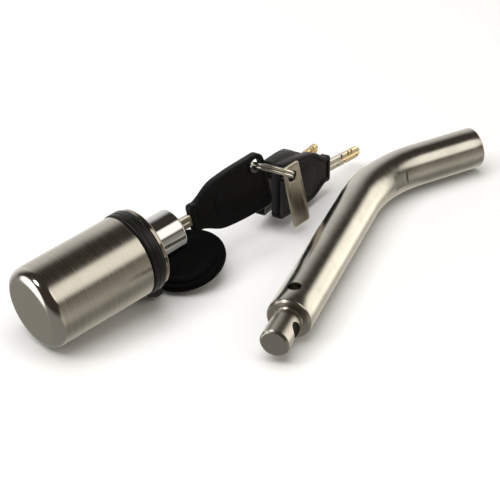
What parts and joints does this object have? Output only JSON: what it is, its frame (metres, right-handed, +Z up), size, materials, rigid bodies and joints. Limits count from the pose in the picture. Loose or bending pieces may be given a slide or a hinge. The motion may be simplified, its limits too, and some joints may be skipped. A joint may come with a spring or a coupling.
{
  "type": "hitch pin lock",
  "caption": "Cylindrical stainless trailer hitch lock head with a pop-out key barrel, dust flap and keys on a split ring, beside its separate bent locking pin",
  "frame": {"origin": "centre of the footprint, on the surface that the lock head and the pin lie on", "axes": "+X from the lock head's closed end towards the keys, +Z up, +Y from the pin's side towards the lock head's socket side"},
  "size_m": [0.201, 0.0946, 0.0355],
  "materials": {
    "stainless": "brushed stainless steel, circumferential grain",
    "pin_stainless": "smooth satin stainless steel",
    "chrome": "mirror chrome plate",
    "steel": "plain machined steel",
    "nickel": "bright nickel plate",
    "brass": "machined brass",
    "rubber": "black rubber",
    "key_plastic": "satin black moulded plastic"
  },
  "bodies": {
    "lock_head": {"shell": "stainless", "dust_ring": "rubber", "retaining_pin": "steel", "barrel_seal": "rubber", "return_spring": "steel"},
    "flap": {"dust_flap": "rubber"},
    "barrel": {"barrel_housing": "chrome", "lock_bolt": "steel"},
    "plug": {"keyway_plug": "chrome", "plug_clip": "steel", "wafer_1": "brass", "wafer_2": "brass", "wafer_3": "brass", "wafer_4": "brass", "wafer_5": "brass"},
    "latch": {"latch_pawl": "steel"},
    "key_a": {"key_a_head": "key_plastic", "key_a_blade": "nickel"},
    "key_ring": {"split_ring": "nickel"},
    "key_b": {"key_b_head": "key_plastic", "key_b_blade": "nickel"},
    "key_c": {"key_c_head": "key_plastic", "key_c_blade": "brass"},
    "key_tag": {"tag": "nickel"},
    "pin": {"bent_pin": "pin_stainless"}
  },
  "joints": [
    {"name": "flap_hinge", "type": "hinge", "parent": "lock_head", "child": "flap", "pos_m": [-0.05026, 0.0165, 0.00284], "axis": [0, 1, 0], "range_deg": [-3, 40]},
    {"name": "barrel_slide", "type": "slide", "parent": "lock_head", "child": "barrel", "axis": [0.9945, 0, 0.1045], "range_m": [-0.012, 0], "stiffness_N_per_m": 300, "springref_m": 0.004, "deforming": ["return_spring"]},
    {"name": "plug_turn", "type": "hinge", "parent": "barrel", "child": "plug", "pos_m": [-0.0496, 0.0165, 0.0196], "axis": [0.9945, 0, 0.1045], "range_deg": [0, 90]},
    {"name": "latch_slide", "type": "slide", "parent": "barrel", "child": "latch", "axis": [-0.1045, 0, 0.9945], "range_m": [0, 0.0016]},
    {"name": "key_a_slide", "type": "slide", "parent": "plug", "child": "key_a", "axis": [0.9945, 0, 0.1045], "range_m": [0, 0.0155]},
    {"name": "ring_swing", "type": "hinge", "parent": "key_a", "child": "key_ring", "pos_m": [-0.00023, 0.01783, 0.03108], "axis": [-0.1339, 0.971, -0.1979], "range_deg": [-15, 1]},
    {"name": "key_b_swing", "type": "hinge", "parent": "key_ring", "child": "key_b", "pos_m": [0.01407, 0.019, 0.02096], "axis": [-0.2476, 0.9617, -0.1174], "range_deg": [-3, 15]},
    {"name": "key_c_swing", "type": "hinge", "parent": "key_ring", "child": "key_c", "pos_m": [0.01165, 0.02353, 0.02126], "axis": [-0.6521, 0.7223, 0.2303], "range_deg": [-3, 15]},
    {"name": "tag_swing", "type": "hinge", "parent": "key_ring", "child": "key_tag", "pos_m": [0.01261, 0.01127, 0.02426], "axis": [0.5465, 0.6234, -0.5592], "range_deg": [-4, 4]},
    {"name": "pin_lift", "type": "slide", "parent": "lock_head", "child": "pin", "axis": [0, 0, 1], "range_m": [0, 0.04]}
  ],
  "couplings": [
    {"joint": "latch_slide", "follows": "plug_turn", "m_per_rad": 0.00090032}
  ]
}
